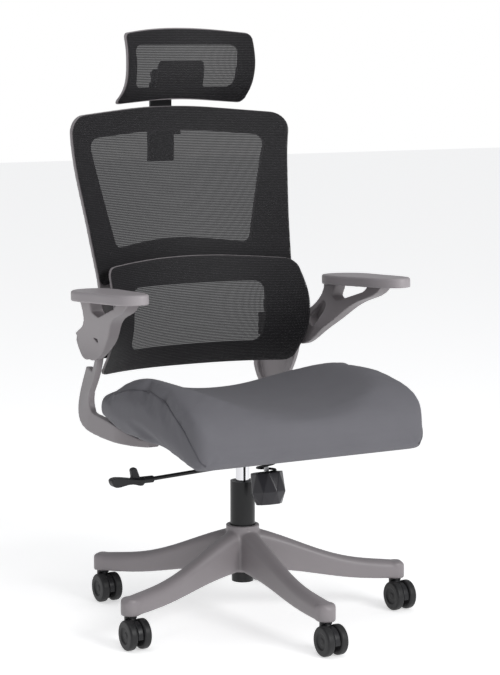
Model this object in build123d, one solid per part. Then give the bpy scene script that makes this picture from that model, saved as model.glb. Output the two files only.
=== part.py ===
from build123d import *
import math
import os

# An ergonomic office chair with a mesh back, a lumbar panel, a headrest and flip-up arms.
# Millimetres. The origin is on the floor under the gas lift. +Z is up, and the chair faces -Y.
# Its left side is at +X. Each named size is written once, and what fits it is worked out from it.

# ---- fits and clearances ----
RUN_GAP = 0.05        # radial clearance of a running fit
SWING_GAP = 0.6       # gap between parts that swing past each other
REST_GAP = 0.3        # gap between soft parts and what they lie near
HOLE_GAP = 0.4        # radial clearance of a screw in its hole
ROCK_GAP = 1.4        # radial clearance of the lever's rod, which rocks in its collar

# ---- star base and casters ----
ARM_COUNT = 5
CASTER_CIRCLE_R = 320
HUB_TOP_Z = 190
HUB_BOTTOM_Z = 94
HUB_TOP_R = 34
HUB_BOTTOM_R = 27
ARM_TIP_R = 19
ARM_TIP_TOP_Z = 98
WHEEL_R = 29.5
WHEEL_WIDTH = 16
WHEEL_HALF_GAP = 6.8
CASTER_TRAIL = 19
HOOD_R = 26
HOOD_WIDTH = 12
CASTER_NECK_R = 12.5
STEM_R = 5.5
STEM_LENGTH = 22
AXLE_R = 4
SOCKET_Z = 63.5       # underside of the base's arm tips
CASTER_HEAD_GAP = 0.5

# ---- gas lift ----
TUBE_R = 25
TUBE_FOOT_R = 22
TUBE_WALL = 1.8
TUBE_BOTTOM_Z = 73
TUBE_TOP_Z = 279
BUSH_LENGTH = 110
PISTON_ROD_R = 5
CYLINDER_R = 14
CYLINDER_WALL = 2
CYLINDER_BOTTOM_Z = 132
PISTON_Z = 228
PISTON_HEIGHT = 12
BEARING_HEIGHT = 9
BUTTON_R = 4
BUTTON_PROUD = 6

# ---- tilt mechanism ----
PAN_BOTTOM_Z = 378
PLATE_THICKNESS = 4
PLATE_HALF_WIDTH = 78
PLATE_FRONT_Y = -122
PLATE_REAR_Y = 82
PIVOT_Y = -36
PIVOT_DROP = 17       # from the seat plate's underside to the tilt axis
PIVOT_PIN_R = 6
HOUSING_HALF_WIDTH = 55
HOUSING_FRONT_Y = -66
HOUSING_REAR_Y = 60
HOUSING_HEIGHT = 26
HOUSING_WALL = 3
HOUSING_BOTTOM_Z = 324
SOCKET_WALL = 5
NOSE_HALF_WIDTH = 31
NOSE_DROP = 27        # from the seat plate's underside to the nose, on the bolt's axis
KNOB_LEAN = 10        # degrees that the tension bolt leans forward
KNOB_R = 34.5
KNOB_HEIGHT = 64
KNOB_MID_Y = -101
KNOB_MID_Z = 281
KNOB_FLATS = 8
KNOB_WALL = 5
BOLT_R = 5
BOLT_HEAD_R = 9
SPRING_R = 18
SPRING_WIRE_R = 2.4
SPRING_TURNS = 6

# ---- lift and tilt-lock lever ----
LEVER_Y = -60
LEVER_ROD_R = 4
LEVER_WALL_Z = 334
LEVER_GRIP_X = -234
LEVER_GRIP_Z = 316
LEVER_TIP_X = -326
LEVER_GRIP_R = 7
LEVER_SLEEVE_LENGTH = 40
LEVER_WALL_Y = -42
LEVER_BUTTON_RUN = 20
TRUNNION_R = 2.4        # radius of the cross pin that the rod rocks on in its collar
BUSH_COLLAR_R = 7
BUSH_COLLAR_OUT = 12
BUSH_COLLAR_IN = 17

# ---- seat ----
SEAT_HALF_WIDTH = 261
SEAT_FRONT_Y = -291
SEAT_REAR_Y = 178
SEAT_CREST_Z = 505
SEAT_DIP = 56         # how far the middle lies below the side wings
SEAT_CORNER_R = 58
PAN_THICKNESS = 12
PAN_HALF_WIDTH = 190
PAN_FRONT_REACH = 34    # how far the pan runs out past its bends, to the front and rear
PAN_REAR_REACH = 16
SCREW_R = 3

# ---- side bars ----
BAR_OUTER_X = 239
BAR_THICKNESS = 13
BAR_TRIM = 0.5         # how much is faced off the bar's outer side, to leave it flat
LUMBAR_CLEAR_Y = 222    # the bar stays behind this beside the lumbar panel
FLANGE_INNER_X = 120
FLANGE_THICKNESS = 6

# ---- back ----
BACK_FRAME_THICKNESS = 12
MESH_THICKNESS = 2
EAR_THICKNESS = 11

# ---- lumbar and headrest ----
LUMBAR_FRAME_THICKNESS = 9
LUMBAR_TRAVEL = 20
LUMBAR_GUIDE_Y = 212
POST_WIDTH = 50
POST_THICKNESS = 9
POST_Y = 350
SOCKET_SEAT_Y = 314     # the flat on the top rail that the headrest's socket is fixed to
POST_BOTTOM_Z = 925
POST_TOP_Z = 1100
HEADREST_TRAVEL = 50
HEADREST_FRAME_THICKNESS = 9
HINGE_Y = 328
HINGE_Z = 1088
HINGE_PIN_R = 4

# ---- arms ----
ARM_PIVOT_Y = 197
ARM_PIVOT_Z = 550
ARM_PIN_R = 8
BOSS_R = 32
BOSS_THICKNESS = 20
PAD_THICKNESS = 20
PAD_RISE_DEG = 3
PAD_REAR_TOP_Z = 673
PAD_REAR_Y = 126
PAD_LENGTH = 264


def can(radius, z_low, z_high, x=0.0, y=0.0):
    """A cylinder along Z between two heights."""
    body = Cylinder(radius, z_high - z_low, align=(Align.CENTER, Align.CENTER, Align.MIN))
    return Pos(x, y, z_low) * body


def ring(outer_r, inner_r, z_low, z_high, x=0.0, y=0.0):
    """A tube along Z between two heights."""
    return can(outer_r, z_low, z_high, x, y) - can(inner_r, z_low - 1, z_high + 1, x, y)


def bar_x(radius, x_low, x_high, y, z):
    """A cylinder along X between two places."""
    body = Cylinder(radius, x_high - x_low, align=(Align.CENTER, Align.CENTER, Align.MIN))
    return Pos(x_low, y, z) * Rot(0, 90, 0) * body


def block(x_low, x_high, y_low, y_high, z_low, z_high):
    """A box between two corners."""
    body = Box(x_high - x_low, y_high - y_low, z_high - z_low, align=(Align.MIN,) * 3)
    return Pos(x_low, y_low, z_low) * body


def cone(low_r, high_r, z_low, z_high):
    """A cone frustum along Z about the chair's axis."""
    body = Cone(low_r, high_r, z_high - z_low, align=(Align.CENTER, Align.CENTER, Align.MIN))
    return Pos(0, 0, z_low) * body


def side_prism(outline_yz, x_low, x_high):
    """A closed (y, z) curve, extruded along X."""
    face = Plane.YZ * make_face(outline_yz)
    return Pos(x_low, 0, 0) * extrude(face, x_high - x_low, dir=(1, 0, 0))


def front_prism(outline_xz, y_low, y_high):
    """A closed (x, z) curve, extruded along Y."""
    plane = Plane(origin=(0, 0, 0), x_dir=(1, 0, 0), z_dir=(0, -1, 0))
    face = plane * make_face(outline_xz)
    return Pos(0, y_low, 0) * extrude(face, y_high - y_low, dir=(0, 1, 0))


def rounded(points, radii):
    """A closed outline of straight runs with rounded corners."""
    return FilletPolyline(*points, radius=radii, close=True)


def mirrored(points):
    """An outline's left half, and its mirror image in reverse order."""
    return points + [(-x, z) for x, z in reversed(points) if x != 0]


def both_sides(shape):
    """A shape and its mirror image across the chair's middle plane."""
    return [shape, mirror(shape, about=Plane.YZ)]


def save(node, shape):
    """Write one sub-part, as one solid or a group of solids."""
    solids = shape if isinstance(shape, list) else [shape]
    solids = [solid for item in solids for solid in item.solids()]
    shape = solids[0] if len(solids) == 1 else Compound(children=solids)
    export_step(shape, f"parts/{node}.step")


# ---- star base ----

def caster_places():
    """Where each caster's stem stands: one to the front, and the rest evenly round."""
    turn = 360 / ARM_COUNT
    return [
        (
            CASTER_CIRCLE_R * math.cos(math.radians(-90 + turn * index)),
            CASTER_CIRCLE_R * math.sin(math.radians(-90 + turn * index)),
        )
        for index in range(ARM_COUNT)
    ]


def arm_section(reach, z_low, z_high, width):
    """One cross-section of a base arm: flat below, rounded along the top."""
    height = z_high - z_low
    crown = min(width, height) * 0.42
    foot = min(width, height) * 0.12
    corners = [(-width / 2, 0), (width / 2, 0), (width / 2, height), (-width / 2, height)]
    outline = rounded(corners, [foot, foot, crown, crown])
    plane = Plane(origin=(reach, 0, z_low), x_dir=(0, 1, 0), z_dir=(1, 0, 0))
    return plane * make_face(outline)


def arm_profile():
    """An upright slab whose outline rounds off the top of an arm's tip."""
    end = CASTER_CIRCLE_R + ARM_TIP_R
    outline = rounded(
        [(-5, 20), (end + 1, 20), (end + 1, ARM_TIP_TOP_Z), (end * 0.7, ARM_TIP_TOP_Z + 17), (-5, 400)],
        [2, 2, 20, 30, 2],
    )
    return front_prism(outline, -60, 60)


def star_base():
    tip_low, tip_high = SOCKET_Z, ARM_TIP_TOP_Z
    tip_width = 2 * ARM_TIP_R
    stations = [
        (0.04, HUB_BOTTOM_Z + 6, HUB_TOP_Z - 6, 44),
        (0.16, HUB_BOTTOM_Z + 2, HUB_TOP_Z - 18, 39),
        (0.34, HUB_BOTTOM_Z - 5, HUB_TOP_Z - 40, 34),
        (0.56, tip_low + 13, tip_high + 25, 32),
        (0.77, tip_low + 4, tip_high + 9, 35),
        (1.0, tip_low, tip_high, tip_width),
    ]
    sections = [
        arm_section(share * CASTER_CIRCLE_R, low, high, width) for share, low, high, width in stations
    ]
    arm = loft(sections)
    tip = can(ARM_TIP_R, tip_low, tip_high, CASTER_CIRCLE_R)
    tip = fillet(tip.edges().group_by(Axis.Z)[-1], ARM_TIP_R * 0.42 * 0.95)
    arm = (arm + tip) & arm_profile()
    body = cone(HUB_BOTTOM_R, HUB_TOP_R, HUB_BOTTOM_Z, HUB_TOP_Z)
    for index in range(ARM_COUNT):
        body = body + Rot(0, 0, -90 + 360 / ARM_COUNT * index) * arm
    body = body - tube_envelope()
    for x, y in caster_places():
        body = body - can(STEM_R + RUN_GAP, SOCKET_Z - 5, SOCKET_Z + STEM_LENGTH + 2, x, y)
    return body


# ---- casters ----

def caster_hood(x, y):
    axle_y = y - CASTER_TRAIL
    top_z = SOCKET_Z - CASTER_HEAD_GAP
    web = bar_x(HOOD_R, x - HOOD_WIDTH / 2, x + HOOD_WIDTH / 2, axle_y, WHEEL_R)
    neck = can(CASTER_NECK_R, WHEEL_R + 8, top_z, x, y)
    wheel_room = WHEEL_R + 1.2
    for side in (-1, 1):
        inner = x + side * WHEEL_HALF_GAP
        outer = x + side * (WHEEL_HALF_GAP + WHEEL_WIDTH + 8)
        room = bar_x(wheel_room, min(inner, outer), max(inner, outer), axle_y, WHEEL_R)
        neck = neck - room
    below = block(x - 40, x + 40, axle_y - 60, axle_y + 2, -1, WHEEL_R - 6)
    body = web - below + neck
    body = body + bar_x(AXLE_R + 4, x - HOOD_WIDTH / 2, x + HOOD_WIDTH / 2, axle_y, WHEEL_R)
    body = body - bar_x(AXLE_R, x - 20, x + 20, axle_y, WHEEL_R)
    return body - can(STEM_R, WHEEL_R + 12, top_z + 1, x, y)


def caster_pins(x, y):
    stem = can(STEM_R, WHEEL_R + 12, SOCKET_Z + STEM_LENGTH, x, y)
    groove_z = SOCKET_Z + STEM_LENGTH - 6
    stem = stem - (ring(STEM_R + 1, STEM_R - 1, groove_z, groove_z + 3, x, y))
    reach = WHEEL_HALF_GAP + WHEEL_WIDTH - 3
    axle = bar_x(AXLE_R, x - reach, x + reach, y - CASTER_TRAIL, WHEEL_R)
    return [stem, axle]


def caster_wheel(x, y, side):
    """A twin-wheel half: a rounded tread and a dished outer face, blind on the axle."""
    axle_y = y - CASTER_TRAIL
    half = WHEEL_WIDTH / 2
    profile = [
        (-half, AXLE_R + RUN_GAP),
        (-half, WHEEL_R - 1),
        (half, WHEEL_R - 1),
        (half, WHEEL_R * 0.62),
        (half - 3, WHEEL_R * 0.5),
        (half - 1.5, 0),
        (half - 2.5, 0),
        (half - 2.5, AXLE_R + RUN_GAP),
    ]
    tread = Cylinder(WHEEL_R, WHEEL_WIDTH)
    tread = fillet(tread.edges(), WHEEL_WIDTH * 0.26)
    dish = Pos(0, 0, half) * Cone(WHEEL_R * 0.5, WHEEL_R * 0.66, 5)
    bore_depth = WHEEL_WIDTH - 2.5
    bore = Pos(0, 0, -half + bore_depth / 2) * Cylinder(AXLE_R + RUN_GAP, bore_depth)
    cap = Pos(0, 0, half - 2.4) * Cylinder(WHEEL_R * 0.2, 2)
    wheel = tread - dish + cap - bore
    middle = x + side * (WHEEL_HALF_GAP + half)
    return Pos(middle, axle_y, WHEEL_R) * Rot(0, 90 * side, 0) * wheel


def grip_ring(x, y):
    groove_z = SOCKET_Z + STEM_LENGTH - 6
    return ring(STEM_R + RUN_GAP, STEM_R - 0.9, groove_z + 0.5, groove_z + 2.5, x, y)


# ---- gas lift ----

def tube_envelope():
    """The outer tube's outside: a gentle taper where the hub grips it, then straight."""
    taper = cone(TUBE_FOOT_R, TUBE_R, TUBE_BOTTOM_Z, HUB_TOP_Z)
    return taper + can(TUBE_R, HUB_TOP_Z, TUBE_TOP_Z)


def lift_outer_tube():
    inner_r = TUBE_FOOT_R - TUBE_WALL
    hollow = can(inner_r, TUBE_BOTTOM_Z + 3, TUBE_TOP_Z + 1)
    return tube_envelope() - hollow - can(PISTON_ROD_R + 1, TUBE_BOTTOM_Z - 1, TUBE_BOTTOM_Z + 4)


def lift_guide_bush():
    inner_r = TUBE_FOOT_R - TUBE_WALL
    return ring(inner_r, CYLINDER_R + RUN_GAP, TUBE_TOP_Z - BUSH_LENGTH, TUBE_TOP_Z)


def lift_thrust_bearing():
    floor_z = TUBE_BOTTOM_Z + 3
    return ring(12, PISTON_ROD_R + RUN_GAP, floor_z, floor_z + BEARING_HEIGHT)


def lift_piston_rod():
    """The rod hangs on its shoulder over the bearing, and its piston works in the cylinder."""
    shoulder_z = TUBE_BOTTOM_Z + 3 + BEARING_HEIGHT + RUN_GAP
    rod = can(PISTON_ROD_R, TUBE_BOTTOM_Z + 1, PISTON_Z + PISTON_HEIGHT)
    shoulder = can(PISTON_ROD_R + 3, shoulder_z, shoulder_z + 3)
    piston = can(CYLINDER_R - CYLINDER_WALL - RUN_GAP, PISTON_Z, PISTON_Z + PISTON_HEIGHT)
    return rod + shoulder + piston


def lift_retaining_clip():
    return ring(9, PISTON_ROD_R + 2, TUBE_BOTTOM_Z - 1.5, TUBE_BOTTOM_Z)


def cylinder_top_z():
    return PAN_BOTTOM_Z - PLATE_THICKNESS - 28


def lift_cylinder():
    top_z = cylinder_top_z()
    shell = can(CYLINDER_R, CYLINDER_BOTTOM_Z, top_z)
    bore_r = CYLINDER_R - CYLINDER_WALL
    shell = shell - can(bore_r, CYLINDER_BOTTOM_Z + 5, top_z - 20)
    shell = shell - can(PISTON_ROD_R + RUN_GAP, CYLINDER_BOTTOM_Z - 1, CYLINDER_BOTTOM_Z + 6)
    return shell - can(BUTTON_R + RUN_GAP, top_z - 12, top_z + 1)


def lift_valve_button():
    top_z = cylinder_top_z()
    return can(BUTTON_R, top_z - 6, top_z + BUTTON_PROUD)


# ---- tilt mechanism ----

def plate_underside_z():
    return PAN_BOTTOM_Z - PLATE_THICKNESS


def pivot_z():
    return plate_underside_z() - PIVOT_DROP


def bolt_frame():
    """A local frame on the tension bolt's axis: Z runs up the bolt, through the knob's middle."""
    return Pos(0, KNOB_MID_Y, KNOB_MID_Z) * Rot(-KNOB_LEAN, 0, 0)


def nose_height():
    """How far above the knob's middle the nose plate lies, along the bolt."""
    rise = plate_underside_z() - NOSE_DROP - KNOB_MID_Z
    return rise / math.cos(math.radians(KNOB_LEAN))


def tilt_housing():
    top_z = HOUSING_BOTTOM_Z + HOUSING_HEIGHT
    outer = block(-HOUSING_HALF_WIDTH, HOUSING_HALF_WIDTH, HOUSING_FRONT_Y, HOUSING_REAR_Y,
                  HOUSING_BOTTOM_Z, top_z)
    outer = fillet(outer.edges().filter_by(Axis.Z), 14)
    wall = HOUSING_WALL
    inner = block(-HOUSING_HALF_WIDTH + wall, HOUSING_HALF_WIDTH - wall, HOUSING_FRONT_Y + wall,
                  HOUSING_REAR_Y - wall, HOUSING_BOTTOM_Z + wall, top_z + 1)
    inner = fillet(inner.edges().filter_by(Axis.Z), 14 - wall)
    body = outer - inner
    body = body + can(CYLINDER_R + SOCKET_WALL, HOUSING_BOTTOM_Z, cylinder_top_z() - 1)
    for side in (-1, 1):
        middle = side * (HOUSING_HALF_WIDTH - wall / 2)
        lug = bar_x(11, middle - wall / 2, middle + wall / 2, PIVOT_Y, pivot_z())
        web = block(middle - wall / 2, middle + wall / 2, PIVOT_Y - 11, PIVOT_Y + 11,
                    HOUSING_BOTTOM_Z + wall, pivot_z())
        body = body + lug + web
    nose = Box(2 * NOSE_HALF_WIDTH, 62, wall, align=(Align.CENTER, Align.MIN, Align.MIN))
    nose = Pos(0, -36, nose_height()) * nose
    body = body + bolt_frame() * nose
    slot = Box(2 * BOLT_R + 3, 2 * BOLT_R + 24, 40)
    slot = Pos(0, -6, nose_height()) * slot
    body = body - bolt_frame() * slot
    body = body - can(CYLINDER_R, HOUSING_BOTTOM_Z - 1, top_z + 1)
    body = body - bar_x(PIVOT_PIN_R, -90, 90, PIVOT_Y, pivot_z())
    collar = bar_x(BUSH_COLLAR_R + RUN_GAP, -HOUSING_HALF_WIDTH - 5, -HOUSING_HALF_WIDTH + 8,
                   LEVER_WALL_Y, LEVER_WALL_Z)
    return body - collar


def tilt_pivot_pin():
    reach = PLATE_HALF_WIDTH - 12
    return bar_x(PIVOT_PIN_R, -reach, reach, PIVOT_Y, pivot_z())


def seat_plate():
    """A pressed plate under the seat pan, with two ears that hang on the pivot pin."""
    under_z = plate_underside_z()
    body = block(-PLATE_HALF_WIDTH, PLATE_HALF_WIDTH, PLATE_FRONT_Y, PLATE_REAR_Y, under_z, PAN_BOTTOM_Z)
    body = fillet(body.edges().filter_by(Axis.Z), 16)
    ear_x = HOUSING_HALF_WIDTH + SWING_GAP
    for side in (-1, 1):
        low, high = sorted((side * ear_x, side * (ear_x + PLATE_THICKNESS)))
        ear = block(low, high, PIVOT_Y - 14, PIVOT_Y + 14, pivot_z(), under_z)
        body = body + ear + bar_x(14, low, high, PIVOT_Y, pivot_z())
    body = body - bar_x(PIVOT_PIN_R + RUN_GAP, -90, 90, PIVOT_Y, pivot_z())
    body = body - bolt_frame() * can(BOLT_R, 0, 120)
    for x, y in plate_screw_places():
        body = body - can(SCREW_R + HOLE_GAP, under_z - 1, PAN_BOTTOM_Z + 1, x, y)
    return body


def plate_screw_places():
    x = PLATE_HALF_WIDTH - 14
    return [(-x, PLATE_FRONT_Y + 18), (x, PLATE_FRONT_Y + 18), (-x, PLATE_REAR_Y - 16), (x, PLATE_REAR_Y - 16)]


def tension_bolt():
    low = -KNOB_HEIGHT / 2 + KNOB_WALL
    along = (plate_underside_z() - KNOB_MID_Z) / math.cos(math.radians(KNOB_LEAN))
    shaft = can(BOLT_R, low, along + PLATE_THICKNESS / 2)
    head = can(BOLT_HEAD_R, along - 5, along - 1.8)
    return bolt_frame() * (shaft + head)


def tension_spring():
    low = -KNOB_HEIGHT / 2 + KNOB_WALL + 3 + SPRING_WIRE_R + REST_GAP
    high = nose_height() - SPRING_WIRE_R - REST_GAP
    coil = Helix(pitch=(high - low) / SPRING_TURNS, height=high - low, radius=SPRING_R)
    start = Plane(origin=coil @ 0, z_dir=coil % 0)
    wire = sweep(start * Circle(SPRING_WIRE_R), path=coil, is_frenet=True)
    return bolt_frame() * Pos(0, 0, low) * wire


def knob_ring(height, radius, turn):
    """One ring of the knob's faceted side."""
    step = 360 / KNOB_FLATS
    return [
        Vector(
            radius * math.cos(math.radians(step * (index + turn))),
            radius * math.sin(math.radians(step * (index + turn))),
            height,
        )
        for index in range(KNOB_FLATS)
    ]


def tension_knob():
    """A hollow knob whose sides are diamond facets between two turned octagons."""
    half = KNOB_HEIGHT / 2
    top = knob_ring(half, KNOB_R * 0.93, 0.5)
    waist = knob_ring(-half * 0.25, KNOB_R * 1.03, 0)
    foot = knob_ring(-half, KNOB_R * 0.74, 0.5)
    faces = [Face(Wire.make_polygon(top)), Face(Wire.make_polygon(foot))]
    for index in range(KNOB_FLATS):
        after = (index + 1) % KNOB_FLATS
        before = index - 1
        faces.append(Face(Wire.make_polygon([top[index], top[before], waist[index]])))
        faces.append(Face(Wire.make_polygon([top[index], waist[index], waist[after]])))
        faces.append(Face(Wire.make_polygon([foot[index], foot[before], waist[index]])))
        faces.append(Face(Wire.make_polygon([foot[index], waist[index], waist[after]])))
    body = Solid(Shell(faces))
    hollow_r = SPRING_R + SPRING_WIRE_R + 3
    body = body - can(hollow_r, -half + KNOB_WALL + 3, half + 1)
    body = body - can(BOLT_R + RUN_GAP, -half + KNOB_WALL, half)
    return bolt_frame() * body


# ---- lever ----

def lever_rod():
    """A bent steel rod: its inner end lies over the valve button, its outer end is in the grip."""
    button_z = cylinder_top_z() + BUTTON_PROUD + LEVER_ROD_R + RUN_GAP
    wall_x = -HOUSING_HALF_WIDTH
    points = [
        (BUTTON_R + 2, 0, button_z),
        (-LEVER_BUTTON_RUN, 0, button_z),
        (wall_x + 26, LEVER_WALL_Y, LEVER_WALL_Z),
        (wall_x - BUSH_COLLAR_OUT - 4, LEVER_WALL_Y, LEVER_WALL_Z),
        (wall_x - 46, LEVER_Y, LEVER_WALL_Z - 11),
        (LEVER_GRIP_X - 10, LEVER_Y, LEVER_GRIP_Z),
    ]
    path = FilletPolyline(*points, radius=9)
    start = Plane(origin=path @ 0, z_dir=path % 0)
    rod = sweep(start * Circle(LEVER_ROD_R), path=path)
    reach = math.sqrt((LEVER_ROD_R + ROCK_GAP) ** 2 - TRUNNION_R**2) - REST_GAP
    trunnion = Rot(90, 0, 0) * Cylinder(TRUNNION_R, 2 * reach)
    return rod + Pos(wall_x, LEVER_WALL_Y, LEVER_WALL_Z) * trunnion


def lever_bush():
    """A collar in the housing's wall that slides with the rod and lets it rock."""
    low, high = -HOUSING_HALF_WIDTH - BUSH_COLLAR_OUT, -HOUSING_HALF_WIDTH + BUSH_COLLAR_IN
    body = bar_x(BUSH_COLLAR_R, low, high, LEVER_WALL_Y, LEVER_WALL_Z)
    return body - bar_x(LEVER_ROD_R + ROCK_GAP, low - 1, high + 1, LEVER_WALL_Y, LEVER_WALL_Z)


def lever_handle():
    """A sleeve on the rod that runs out into a flat paddle, with a finger fin on top."""
    sleeve_end = LEVER_GRIP_X - LEVER_SLEEVE_LENGTH
    sleeve = bar_x(LEVER_GRIP_R, sleeve_end, LEVER_GRIP_X, LEVER_Y, LEVER_GRIP_Z)
    outline = Spline(
        (sleeve_end + 20, LEVER_GRIP_Z + 4),
        (sleeve_end - 10, LEVER_GRIP_Z + 6),
        (LEVER_TIP_X, LEVER_GRIP_Z + 2),
        (LEVER_TIP_X + 2, LEVER_GRIP_Z - 3),
        (sleeve_end - 4, LEVER_GRIP_Z - 6),
        (sleeve_end + 18, LEVER_GRIP_Z - 5),
        periodic=True,
    )
    paddle = front_prism(outline, LEVER_Y - 9, LEVER_Y + 9)
    fin = rounded(
        [
            (sleeve_end + 12, LEVER_GRIP_Z),
            (sleeve_end + 2, LEVER_GRIP_Z + 27),
            (sleeve_end - 10, LEVER_GRIP_Z + 25),
            (sleeve_end - 6, LEVER_GRIP_Z),
        ],
        [2, 5, 5, 2],
    )
    body = sleeve + paddle + front_prism(fin, LEVER_Y - 5, LEVER_Y + 5)
    return body - lever_rod()


# ---- seat ----

def seat_underside():
    """The cushion's lower edge seen from the side, front to rear."""
    flat_z = PAN_BOTTOM_Z + PAN_THICKNESS
    return [
        (SEAT_FRONT_Y + 28, flat_z - 27),
        (SEAT_FRONT_Y + 120, flat_z - 8),
        (SEAT_FRONT_Y + 160, flat_z),
        (40, flat_z),
        (SEAT_REAR_Y - 58, flat_z + 14),
        (SEAT_REAR_Y - 10, flat_z + 25),
    ]


def seat_cushion():
    """The cushion: side, front and plan outlines that cut one another."""
    under = seat_underside()
    top = [
        (SEAT_REAR_Y, SEAT_CREST_Z - 82),
        (SEAT_REAR_Y - 10, SEAT_CREST_Z - 66),
        (SEAT_REAR_Y - 60, SEAT_CREST_Z - 43),
        (SEAT_REAR_Y - 150, SEAT_CREST_Z - 12),
        (SEAT_REAR_Y - 250, SEAT_CREST_Z - 1),
        (SEAT_FRONT_Y + 90, SEAT_CREST_Z - 15),
        (SEAT_FRONT_Y + 25, SEAT_CREST_Z - 42),
        (SEAT_FRONT_Y, SEAT_CREST_Z - 78),
        (SEAT_FRONT_Y + 4, SEAT_CREST_Z - 124),
    ]
    crown = Spline(*([under[-1]] + top + [under[0]]))
    side = side_prism(Curve() + [Polyline(*under), crown], -SEAT_HALF_WIDTH, SEAT_HALF_WIDTH)
    low_z = SEAT_CREST_Z - 160
    half = SEAT_HALF_WIDTH
    saddle = Spline(
        (-half, SEAT_CREST_Z - 42),
        (-half + 22, SEAT_CREST_Z - 4),
        (-half * 0.62, SEAT_CREST_Z - SEAT_DIP * 0.45),
        (0, SEAT_CREST_Z - SEAT_DIP),
        (half * 0.62, SEAT_CREST_Z - SEAT_DIP * 0.45),
        (half - 22, SEAT_CREST_Z - 4),
        (half, SEAT_CREST_Z - 42),
    )
    box = Polyline((half, SEAT_CREST_Z - 42), (half, low_z), (-half, low_z), (-half, SEAT_CREST_Z - 42))
    front = front_prism(Curve() + [saddle, box], SEAT_FRONT_Y - 5, SEAT_REAR_Y + 5)
    plan = rounded(
        [
            (-half * 0.98, SEAT_FRONT_Y - 1),
            (half * 0.98, SEAT_FRONT_Y - 1),
            (half, (SEAT_FRONT_Y + SEAT_REAR_Y) / 2),
            (half * 0.955, SEAT_REAR_Y + 1),
            (-half * 0.955, SEAT_REAR_Y + 1),
            (-half, (SEAT_FRONT_Y + SEAT_REAR_Y) / 2),
        ],
        [SEAT_CORNER_R * 0.6, SEAT_CORNER_R * 0.6, 400, SEAT_CORNER_R, SEAT_CORNER_R, 400],
    )
    column = Pos(0, 0, low_z) * extrude(make_face(plan), 200)
    return side & front & column


def underside_height(y):
    """Height of the cushion's lower edge at a place along the seat."""
    points = seat_underside()
    for (y_low, z_low), (y_high, z_high) in zip(points, points[1:]):
        if y_low <= y <= y_high:
            return z_low + (z_high - z_low) * (y - y_low) / (y_high - y_low)
    raise ValueError("the place is off the seat")


def seat_pan():
    """A moulded pan of even thickness under the cushion."""
    inner = seat_underside()[1:-1]
    front_y = inner[0][0] - PAN_FRONT_REACH
    rear_y = inner[-1][0] + PAN_REAR_REACH
    upper = [(front_y, underside_height(front_y))] + inner + [(rear_y, underside_height(rear_y))]
    lower = [(y, z - PAN_THICKNESS) for y, z in upper]
    outline = Polyline(*(upper + lower[::-1]), close=True)
    body = side_prism(outline, -PAN_HALF_WIDTH, PAN_HALF_WIDTH)
    for x, y in plate_screw_places() + flange_screw_places():
        body = body - can(SCREW_R, PAN_BOTTOM_Z - 1, PAN_BOTTOM_Z + PAN_THICKNESS - 2, x, y)
    along = (PAN_BOTTOM_Z - KNOB_MID_Z) / math.cos(math.radians(KNOB_LEAN))
    return body - bolt_frame() * can(BOLT_HEAD_R + 2, along - 4, along + 8)


def flange_screw_places():
    y_front, y_rear = -2, 28
    x = FLANGE_INNER_X + 16
    return [(-x, y_front), (x, y_front), (-x, y_rear), (x, y_rear)]


def seat_screws():
    screws = []
    for x, y in plate_screw_places():
        low = plate_underside_z()
        head = can(SCREW_R + 3, low - 4, low, x, y)
        screws.append(head + can(SCREW_R, low, PAN_BOTTOM_Z + PAN_THICKNESS - 2, x, y))
    for x, y in flange_screw_places():
        low = PAN_BOTTOM_Z - FLANGE_THICKNESS
        head = can(SCREW_R + 3, low - 4, low, x, y)
        screws.append(head + can(SCREW_R, low, PAN_BOTTOM_Z + PAN_THICKNESS - 2, x, y))
    return screws


# ---- side bars ----

def bar_section(front, rear, thickness):
    """A slanted strip from its front outer corner to its rear outer corner, as thick as the bar."""
    run_x, run_y = rear[0] - front[0], rear[1] - front[1]
    length = math.hypot(run_x, run_y)
    if length < 1:
        inward = (thickness, 0)
    else:
        inward = (abs(run_y) / length * thickness, -run_x / length * thickness * math.copysign(1, run_y))
    corners = [
        Vector(*front),
        Vector(*rear),
        Vector(rear[0] + inward[0], rear[1] + inward[1], rear[2]),
        Vector(front[0] + inward[0], front[1] + inward[1], front[2]),
    ]
    return Face(Wire.make_polygon(corners))


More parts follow.
